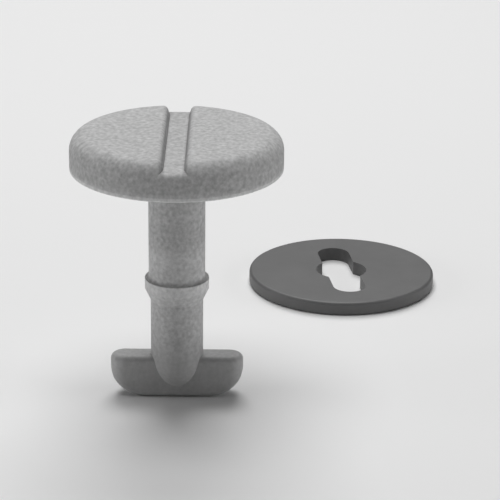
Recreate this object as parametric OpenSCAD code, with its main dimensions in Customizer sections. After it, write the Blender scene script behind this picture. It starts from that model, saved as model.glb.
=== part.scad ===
// Floor carpet clip: a quarter-turn stud and the slotted washer that holds it to the carpet.
// The stud stands on its foot with its axis on Z, the foot's arms along X and the grip groove along Y.
// The washer lies beside it, taken off, as it is before the foot is passed through its slot.

/* [Head] */
// Diameter of the round head
head_d = 22; // [18:0.5:28]
// Thickness of the head
head_t = 3.9; // [3:0.1:5]
// Radius that rolls the top of the head into its side
head_top_r = 1.8; // [1.4:0.1:2.2]
// Radius that breaks the lower edge of the head
head_low_r = 0.25; // [0.1:0.05:0.6]

/* [Grip groove] */
// Width of the groove's flat floor
groove_floor_w = 2; // [1.5:0.1:4]
// Depth of the floor below the top of the head
groove_depth = 1; // [0.6:0.05:1.1]
// Lean of the groove's walls away from upright, in degrees
groove_lean = 20; // [10:1:30]
// Radius that rounds the groove's shoulders
groove_shoulder_r = 0.6; // [0.3:0.05:0.8]
// Radius that rolls the ends of the floor into the head's side
groove_end_r = 0.7; // [0.2:0.05:0.8]

/* [Shaft] */
// Diameter of the upper shaft, which the washer's round hole turns on
shaft_d = 5.9; // [5:0.1:7]
// Length of the upper shaft, from the head down to the collar
grip_l = 11.9; // [8:0.1:18]
// Radius of the fillet between the upper shaft and the head
head_root_r = 0.5; // [0.2:0.1:1]
// Diameter of the lower shaft, which turns in the floor socket
neck_d = 5.5; // [4.6:0.1:6.4]
// Length of the lower shaft, from the collar's cone down to the arms
neck_l = 6.2; // [4:0.1:10]
// How far above the arms the lower shaft starts to round off into its bullet nose
nose_rise = 0.05; // [0.05:0.05:1]
// Radius of the bullet nose's sides, seen from the front
nose_side_r = 4.9; // [3.6:0.1:5]

/* [Collar] */
// How far the collar stands out from the upper shaft
collar_proud = 0.4; // [0.2:0.05:0.7]
// Height of the collar's straight band
collar_band_h = 1.1; // [0.8:0.1:2]
// Height of the cone that leads the washer over the collar
collar_lead_h = 1.3; // [0.6:0.1:2.4]
// Radius of the fillet between the upper shaft and the top of the collar
collar_root_r = 0.35; // [0.1:0.05:0.6]

/* [Foot] */
// Length of the foot over both arms
foot_l = 14; // [11:0.2:18]
// Thickness of the arms, front to back
foot_t = 3; // [2.4:0.1:4.2]
// Height of the arms
foot_h = 4.5; // [3.8:0.1:6]
// Length of the underside that sweeps up at each end
foot_bow_run = 3.6; // [3.2:0.1:4.6]
// Height that each end has swept up by
foot_bow_rise = 3.1; // [2:0.1:3.2]
// Radius along the arms' upper edges and keel
foot_edge_r = 0.6; // [0.2:0.05:0.8]

/* [Washer] */
// Outside diameter of the washer
washer_d = 22; // [20:0.5:28]
// Thickness of the washer
washer_t = 1.6; // [1:0.1:2.4]
// Radius round the washer's rim
washer_edge_r = 0.35; // [0.1:0.05:0.45]
// Gap all round between the foot and the slot that it passes through
slot_clear = 0.4; // [0.1:0.05:0.6]
// Gap all round between the upper shaft and the washer's round hole
hole_clear = 0.05; // [0.05:0.05:0.3]

/* [Layout] */
// Distance of the washer to the right of the stud
washer_x = 18.6; // [16:0.2:30]
// Distance of the washer behind the stud
washer_y = 33; // [16:0.5:40]
// Turn of the slot from the line of the grip groove, in degrees
slot_turn = 8; // [0:1:90]

/* [Hidden] */
$fn = 96;

// How far a cutting shape reaches past what it cuts
over = 1;
// How far a rounding stands past the faces that it joins, to meet them at an edge
round_lift = 0.015;
// How far the groove's walls are cut below its floor, which is then put back
floor_sink = 0.2;

head_r = head_d / 2;
shaft_r = shaft_d / 2;
neck_r = neck_d / 2;
collar_r = shaft_r + collar_proud;
nose_z = foot_h + nose_rise;
lead_z = foot_h + neck_l;
band_z = lead_z + collar_lead_h;
collar_z = band_z + collar_band_h;
head_z = collar_z + grip_l;
top_z = head_z + head_t;

// Half widths of the groove where its walls and its shoulders end, and where it starts to follow the rim
shoulder_inset = groove_shoulder_r - round_lift;
shoulder_drop = shoulder_inset * (1 - sin(groove_lean));
wall_x = groove_floor_w / 2 + (groove_depth - shoulder_drop) * tan(groove_lean);
shoulder_x = wall_x + shoulder_inset * cos(groove_lean);
roll_y = sqrt(pow(head_r, 2) - pow(shoulder_x, 2)) - head_top_r;

// The arc under each end touches the flat bottom and passes through the end at the bow's rise
bow_x = foot_l / 2 - foot_bow_run;
bow_r = (pow(foot_bow_run, 2) + pow(foot_bow_rise, 2)) / (2 * foot_bow_rise);

slot_l = foot_l + 2 * slot_clear;
slot_w = foot_t + 2 * slot_clear;
hole_d = shaft_d + 2 * hole_clear;

// What a fillet of radius r takes off a corner at the origin, with the part towards -X and -Y
module corner_waste(r) {
    difference() {
        translate([-r, -r])
            square(r + over);
        translate([-r, -r])
            circle(r);
    }
}

// A straight slot with full round ends, centred, with its length along X
module round_slot(l, w) {
    square([l - w, w], center = true);
    for (side = [-1, 1])
        translate([side * (l - w) / 2, 0])
            circle(d = w);
}

// Half section of the head: flat underneath, broken at its lower edge and rolled over at the top
module head_section() {
    difference() {
        translate([0, head_z])
            square([head_r, head_t]);
        translate([head_r, top_z])
            corner_waste(head_top_r);
        translate([head_r, head_z])
            mirror([0, 1])
                corner_waste(head_low_r);
    }
}

// Half section of the fillet that spreads the upper shaft into the head
module head_root_section() {
    difference() {
        translate([0, head_z - head_root_r])
            square([shaft_r + head_root_r, head_root_r + head_low_r]);
        translate([shaft_r + head_root_r, head_z - head_root_r])
            circle(head_root_r);
    }
}

// Half section of the shaft: upper shaft, collar with its lead cone, lower shaft and bullet nose
module shaft_section() {
    translate([0, band_z])
        square([shaft_r, head_z - band_z]);
    polygon([
        [0, nose_z],
        [neck_r, nose_z],
        [neck_r, lead_z],
        [collar_r, band_z],
        [collar_r, collar_z],
        [0, collar_z],
    ]);
    difference() {
        translate([0, band_z])
            square([shaft_r + collar_root_r, collar_z + collar_root_r - band_z]);
        translate([shaft_r + collar_root_r, collar_z + collar_root_r])
            circle(collar_root_r);
    }
    intersection() {
        translate([neck_r - nose_side_r, nose_z])
            circle(nose_side_r);
        square([neck_r, nose_z]);
    }
}

// Outline of the grip groove, seen along it, with its shoulders rounded and the head's top at zero
module groove_outline() {
    right = [
        [groove_floor_w / 2 - floor_sink * tan(groove_lean), -groove_depth - floor_sink],
        [wall_x, -shoulder_drop],
        [shoulder_x, -shoulder_inset],
        [shoulder_x, over],
    ];
    left = [for (i = [3:-1:0]) [-right[i].x, right[i].y]];
    difference() {
        polygon(concat(right, left));
        for (side = [-1, 1])
            translate([side * shoulder_x, -shoulder_inset])
                circle(groove_shoulder_r);
    }
}

// One end of the groove's walls and shoulders, turned over the head's rim
module groove_end() {
    intersection() {
        translate([0, roll_y, top_z - head_top_r])
            rotate([0, 90, 0])
                rotate_extrude()
                    translate([head_top_r, 0])
                        rotate(-90)
                            groove_outline();
        translate([-head_r, roll_y, top_z - head_top_r])
            cube([head_d, head_top_r + 2 * over, head_top_r + 2 * over]);
    }
}

// What is left under the groove: a disc as high as its floor, rolled over at the rim
module groove_bed() {
    bed_r = head_r + round_lift;
    rotate_extrude()
        difference() {
            translate([0, head_z])
                square([bed_r, head_t - groove_depth]);
            translate([bed_r, top_z - groove_depth])
                corner_waste(groove_end_r);
        }
}

// The grip groove: straight across the top of the head and over the rim at both ends
module grip_groove() {
    difference() {
        union() {
            translate([0, roll_y, top_z])
                rotate([90, 0, 0])
                    linear_extrude(2 * roll_y)
                        groove_outline();
            for (side = [0, 1])
                mirror([0, side, 0])
                    groove_end();
        }
        groove_bed();
    }
}

// The arms seen from above, as a block with full round ends and a rounded upper edge
module arms_plan() {
    end_x = (foot_l - foot_t) / 2;
    module half_section() {
        difference() {
            translate([0, -over])
                square([foot_t / 2, foot_h + over]);
            translate([foot_t / 2, foot_h])
                corner_waste(foot_edge_r);
        }
    }
    rotate([90, 0, 90])
        translate([0, 0, -end_x])
            linear_extrude(2 * end_x) {
                half_section();
                mirror([1, 0])
                    half_section();
            }
    for (side = [-1, 1])
        translate([side * end_x, 0, 0])
            rotate_extrude()
                half_section();
}

// The arms seen from the front, flat underneath and swept up at both ends like a boat's keel
module arms_keel() {
    // Half of the keel's section across the arms, measured out from the centre of a bow
    module half_section() {
        difference() {
            square([bow_r, foot_t / 2]);
            translate([bow_r, foot_t / 2])
                corner_waste(foot_edge_r);
        }
    }
    module section() {
        half_section();
        mirror([0, 1])
            half_section();
    }
    translate([-bow_x, 0, bow_r])
        rotate([0, 90, 0])
            linear_extrude(2 * bow_x)
                section();
    for (side = [0, 1])
        mirror([side, 0, 0])
            translate([bow_x, 0, bow_r])
                rotate([90, 0, 0])
                    rotate_extrude()
                        section();
    translate([-foot_l / 2 - over, -foot_t / 2, bow_r])
        cube([foot_l + 2 * over, foot_t, foot_h + over]);
}

// The one-piece stud: head, shaft, snap collar and locking foot
module turn_stud() {
    color([0.66, 0.66, 0.66]) {
        difference() {
            rotate_extrude() {
                head_section();
                head_root_section();
                shaft_section();
            }
            grip_groove();
        }
        intersection() {
            arms_plan();
            arms_keel();
        }
    }
}

// The washer: a flat disc whose slot passes the foot and whose round hole then sits on the upper shaft
module retaining_washer() {
    color([0.42, 0.42, 0.42])
        translate([washer_x, washer_y, 0])
            rotate([0, 0, 90 + slot_turn])
                difference() {
                    rotate_extrude()
                        difference() {
                            square([washer_d / 2, washer_t]);
                            translate([washer_d / 2, washer_t])
                                corner_waste(washer_edge_r);
                            translate([washer_d / 2, 0])
                                mirror([0, 1])
                                    corner_waste(washer_edge_r);
                        }
                    translate([0, 0, -over])
                        linear_extrude(washer_t + 2 * over) {
                            round_slot(slot_l, slot_w);
                            circle(d = hole_d);
                        }
                }
}

turn_stud();
retaining_washer();
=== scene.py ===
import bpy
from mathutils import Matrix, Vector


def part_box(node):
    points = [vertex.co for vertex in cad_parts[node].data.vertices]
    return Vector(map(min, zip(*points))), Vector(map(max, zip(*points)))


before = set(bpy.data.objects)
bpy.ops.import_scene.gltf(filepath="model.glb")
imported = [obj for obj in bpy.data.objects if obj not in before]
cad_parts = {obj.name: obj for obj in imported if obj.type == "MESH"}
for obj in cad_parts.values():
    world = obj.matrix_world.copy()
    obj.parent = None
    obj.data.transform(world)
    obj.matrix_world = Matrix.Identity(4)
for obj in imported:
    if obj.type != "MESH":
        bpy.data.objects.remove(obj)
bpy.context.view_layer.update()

import math

import bpy
from mathutils import Quaternion, Vector

# Turn stud
# One moulding of light grey nylon from a spark-eroded mould: head, shaft, snap collar and locking foot.
# Its skin is painted paler on the shaft, round the collar and along the head's lower edge: painted bounce
# light.
# Painted shade darkens the corners of the grip groove.
MM = 0.001


def linear(colour):
    """An sRGB hex colour as linear red, green, blue and an alpha of one."""
    channels = [int(colour[i : i + 2], 16) / 255 for i in (1, 3, 5)]
    return [c / 12.92 if c <= 0.04045 else ((c + 0.055) / 1.055) ** 2.4 for c in channels] + [1.0]


def add(tree, kind, settings=None, values=None, links=None):
    """Adds one node to a tree with its settings, its input values and the outputs that feed its inputs."""
    node = tree.nodes.new(kind)
    for name, value in (settings or {}).items():
        setattr(node, name, value)
    for name, value in (values or {}).items():
        node.inputs[name].default_value = value
    for name, output in (links or {}).items():
        tree.links.new(output, node.inputs[name])
    return node


def moulded_nylon():
    """Light grey nylon: dull, flecked by the mould's grain, a little clouded, paler with painted bounce
    light and darker with painted shade.
    """
    # The finest grit is too small to show, so the grain is drawn at the size of its larger flecks
    grain_size = 0.42 * MM
    grain_depth = 0.03 * MM
    fleck_low, fleck_high = 0.25, 0.75
    dark_fleck = linear("#9C9C9C")
    pale_fleck = linear("#C6C6C6")
    plain_skin = linear("#B3B3B3")
    cloud_size = 3.5 * MM
    cloud_strength = 0.12
    # Painted bounce light, added to the skin's colour
    painted_bounce_tone = linear("#8C8C8C")
    # Painted shade, multiplied into the skin's colour in the grip groove
    painted_shade_tone = linear("#DEDEDE")
    # Heights up the stud in millimetres, each with how much of the grain the mould left there
    grained = [(4.0, 0.35), (7.5, 1.0)]
    # Heights up the stud, each with the strength of the grain's pits
    pitted = [(4.0, 0.15), (7.5, 0.5)]
    # Heights up the stud, each with how much painted bounce light the skin there gets
    painted_bounce_light = [
        (4.5, 0.0), (9.0, 0.37), (10.7, 0.34), (11.9, 0.38), (12.05, 0.95), (13.0, 0.95),
        (13.1, 0.08), (13.5, 0.43), (15.8, 0.46), (17.8, 0.0), (25.005, 0.0), (25.03, 0.9),
        (25.38, 0.95), (25.46, 0.3), (25.9, 0.0),
    ]
    # Distances from the groove's middle and heights up the head, each with how much painted shade lies
    # there
    painted_shade_across = [(0.8, 0.0), (1.0, 1.0), (1.3, 1.0), (1.65, 0.0)]
    painted_shade_up = [(27.3, 0.0), (27.8, 1.0), (28.5, 1.0), (28.8, 0.0)]

    material = bpy.data.materials.new("moulded_nylon")
    material.use_nodes = True
    tree = material.node_tree
    shader = tree.nodes["Principled BSDF"]
    place = add(tree, "ShaderNodeTexCoord").outputs["Object"]
    sides = add(tree, "ShaderNodeSeparateXYZ", links={"Vector": place}).outputs

    def banded(distance, stops):
        """A strength that follows a distance by stops, each a size in millimetres and its strength."""
        start, end = stops[0][0], stops[-1][0]
        share = add(
            tree, "ShaderNodeMapRange",
            values={"From Min": start * MM, "From Max": end * MM},
            links={"Value": distance},
        ).outputs["Result"]
        ramp = add(tree, "ShaderNodeValToRGB", links={"Fac": share})
        for _ in stops[2:]:
            ramp.color_ramp.elements.new(1.0)
        for element, (size, strength) in zip(ramp.color_ramp.elements, stops):
            element.position = (size - start) / (end - start)
            element.color = (strength, strength, strength, 1.0)
        return ramp.outputs["Color"]

    # The grain: flecks of lighter and darker grey over fine pits, fainter on the foot
    grain = add(
        tree, "ShaderNodeTexNoise",
        values={"Scale": 1 / grain_size, "Detail": 2.0, "Roughness": 0.5},
        links={"Vector": place},
    ).outputs["Fac"]
    flecks = add(
        tree, "ShaderNodeMapRange",
        values={"From Min": fleck_low, "From Max": fleck_high},
        links={"Value": grain},
    ).outputs["Result"]
    flecked = add(
        tree, "ShaderNodeMix", {"data_type": "RGBA"},
        {"A": dark_fleck, "B": pale_fleck},
        {"Factor": flecks},
    ).outputs["Result"]
    speckled = add(
        tree, "ShaderNodeMix", {"data_type": "RGBA"},
        {"A": plain_skin},
        {"Factor": banded(sides["Z"], grained), "B": flecked},
    ).outputs["Result"]

    # The cloud: slow drifts of tone from the flow of the melt
    cloud = add(
        tree, "ShaderNodeTexNoise",
        values={"Scale": 1 / cloud_size, "Detail": 2.0, "Roughness": 0.5},
        links={"Vector": place},
    ).outputs["Fac"]
    clouded = add(
        tree, "ShaderNodeMix", {"data_type": "RGBA", "blend_type": "SOFT_LIGHT"},
        {"Factor": cloud_strength},
        {"A": speckled, "B": cloud},
    ).outputs["Result"]

    # The painted bounce light: a paler skin on the shaft, palest on the collar and along the head's lower
    # edge
    bounce_lit = add(
        tree, "ShaderNodeMix", {"data_type": "RGBA", "blend_type": "ADD"},
        {"B": painted_bounce_tone},
        {"Factor": banded(sides["Z"], painted_bounce_light), "A": clouded},
    ).outputs["Result"]

    # The painted shade: a darker line along the foot of both walls of the grip groove
    across = add(
        tree, "ShaderNodeMath", {"operation": "ABSOLUTE"},
        links={0: sides["X"]},
    ).outputs["Value"]
    painted_shade = add(
        tree, "ShaderNodeMath", {"operation": "MULTIPLY"},
        links={0: banded(across, painted_shade_across), 1: banded(sides["Z"], painted_shade_up)},
    ).outputs["Value"]
    colour = add(
        tree, "ShaderNodeMix", {"data_type": "RGBA", "blend_type": "MULTIPLY"},
        {"B": painted_shade_tone},
        {"Factor": painted_shade, "A": bounce_lit},
    ).outputs["Result"]

    relief = add(
        tree, "ShaderNodeBump",
        values={"Distance": grain_depth},
        links={"Height": grain, "Strength": banded(sides["Z"], pitted)},
    ).outputs["Normal"]
    tree.links.new(colour, shader.inputs["Base Color"])
    tree.links.new(relief, shader.inputs["Normal"])
    shader.inputs["Roughness"].default_value = 0.65
    shader.inputs["IOR"].default_value = 1.53
    return material


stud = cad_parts["turn_stud"]
stud.data.materials.clear()
stud.data.materials.append(moulded_nylon())

# Retaining washer
# A flat disc of darker grey plastic, moulded smooth, that lies beside the stud.
# Its slot passes the stud's foot, and its round hole then sits on the upper shaft.


def smooth_polypropylene():
    """Mid grey polypropylene: smooth and matte, with a faint cloud and the finest of pits."""
    cloud_size = 4.0 * MM
    dark_cloud = linear("#595959")
    pale_cloud = linear("#676767")
    pit_size = 0.2 * MM
    pit_depth = 0.004 * MM
    pit_strength = 0.5

    material = bpy.data.materials.new("smooth_polypropylene")
    material.use_nodes = True
    tree = material.node_tree
    shader = tree.nodes["Principled BSDF"]
    place = add(tree, "ShaderNodeTexCoord").outputs["Object"]
    cloud = add(
        tree, "ShaderNodeTexNoise",
        values={"Scale": 1 / cloud_size, "Detail": 3.0, "Roughness": 0.55},
        links={"Vector": place},
    ).outputs["Fac"]
    colour = add(
        tree, "ShaderNodeMix", {"data_type": "RGBA"},
        {"A": dark_cloud, "B": pale_cloud},
        {"Factor": cloud},
    ).outputs["Result"]
    pits = add(
        tree, "ShaderNodeTexNoise",
        values={"Scale": 1 / pit_size, "Detail": 1.0, "Roughness": 0.5},
        links={"Vector": place},
    ).outputs["Fac"]
    relief = add(
        tree, "ShaderNodeBump",
        values={"Strength": pit_strength, "Distance": pit_depth},
        links={"Height": pits},
    ).outputs["Normal"]
    tree.links.new(colour, shader.inputs["Base Color"])
    tree.links.new(relief, shader.inputs["Normal"])
    shader.inputs["Roughness"].default_value = 0.5
    shader.inputs["IOR"].default_value = 1.49
    return material


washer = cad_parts["retaining_washer"]
washer.data.materials.clear()
washer.data.materials.append(smooth_polypropylene())

# Studio
# A plain pale floor, 3 metres wide, under soft boxes overhead, behind and low at both sides,
# with the camera where the stud is seen from.
floor_half = 1.5
floor_mesh = bpy.data.meshes.new("studio_floor")
floor_mesh.from_pydata(
    [(x * floor_half, y * floor_half, 0.0) for x, y in ((-1, -1), (1, -1), (1, 1), (-1, 1))],
    [],
    [(0, 1, 2, 3)],
)
floor_material = bpy.data.materials.new("painted_floor")
floor_material.use_nodes = True
floor_shader = floor_material.node_tree.nodes["Principled BSDF"]
floor_shader.inputs["Base Color"].default_value = linear("#EDEDED")
floor_shader.inputs["Roughness"].default_value = 0.8
floor_mesh.materials.append(floor_material)
floor = bpy.data.objects.new("studio_floor", floor_mesh)
bpy.context.scene.collection.objects.link(floor)

world = bpy.data.worlds.new("studio_world")
world.use_nodes = True
background = world.node_tree.nodes["Background"]
background.inputs["Color"].default_value = linear("#FFFFFF")
background.inputs["Strength"].default_value = 0.02
bpy.context.scene.world = world
bpy.context.scene.view_settings.view_transform = "Standard"


def soft_light(name, place, aim, power):
    """A square soft box at a place, turned to face its aim, with its power in watts."""
    data = bpy.data.lights.new(name, "AREA")
    data.size = box_size
    data.energy = power
    light = bpy.data.objects.new(name, data)
    light.location = place
    light.rotation_mode = "QUATERNION"
    light.rotation_quaternion = (Vector(aim) - Vector(place)).to_track_quat("-Z", "Y")
    bpy.context.scene.collection.objects.link(light)


# Places in metres
box_size = 0.3
clip_middle = (0, 0, 0.02)
floor_behind = (0, 0.02, 0)
soft_light("overhead_box", (-0.04, 0.02, 0.5), floor_behind, 1.2)
soft_light("back_box", (0, 0.35, 0.45), clip_middle, 1.5)
soft_light("left_box", (-0.5, -0.05, 0.12), clip_middle, 0.6)
soft_light("right_box", (0.5, -0.05, 0.12), clip_middle, 0.6)

# The view of the stud: from 17.3 degrees above, turned a little to its right.
# The head's top centre lies at this pixel of the 500 pixel frame, at this scale.
frame_px = 500
head_px = (176.8, 132.0)
px_per_mm = 9.79
view_distance = 230 * MM
view_elevation = math.radians(17.3)
view_azimuth = math.radians(1.9)
focal_px = px_per_mm / MM * view_distance
head_top = Vector((0, 0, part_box("turn_stud")[1].z))
back = Vector((
    math.sin(view_azimuth) * math.cos(view_elevation),
    -math.cos(view_azimuth) * math.cos(view_elevation),
    math.sin(view_elevation),
))
camera_data = bpy.data.cameras.new("camera")
camera_data.sensor_width = 36
camera_data.lens = focal_px / frame_px * camera_data.sensor_width
camera = bpy.data.objects.new("camera", camera_data)
camera.location = head_top + back * view_distance
pan = math.atan((head_px[0] - frame_px / 2) / focal_px)
tilt = math.atan((frame_px / 2 - head_px[1]) / focal_px)
camera.rotation_mode = "QUATERNION"
camera.rotation_quaternion = (
    (-back).to_track_quat("-Z", "Y")
    @ Quaternion((0, 1, 0), pan)
    @ Quaternion((1, 0, 0), -tilt)
)
camera_data.clip_start = view_distance * 0.1
camera_data.clip_end = view_distance * 100
bpy.context.scene.collection.objects.link(camera)
bpy.context.scene.camera = camera
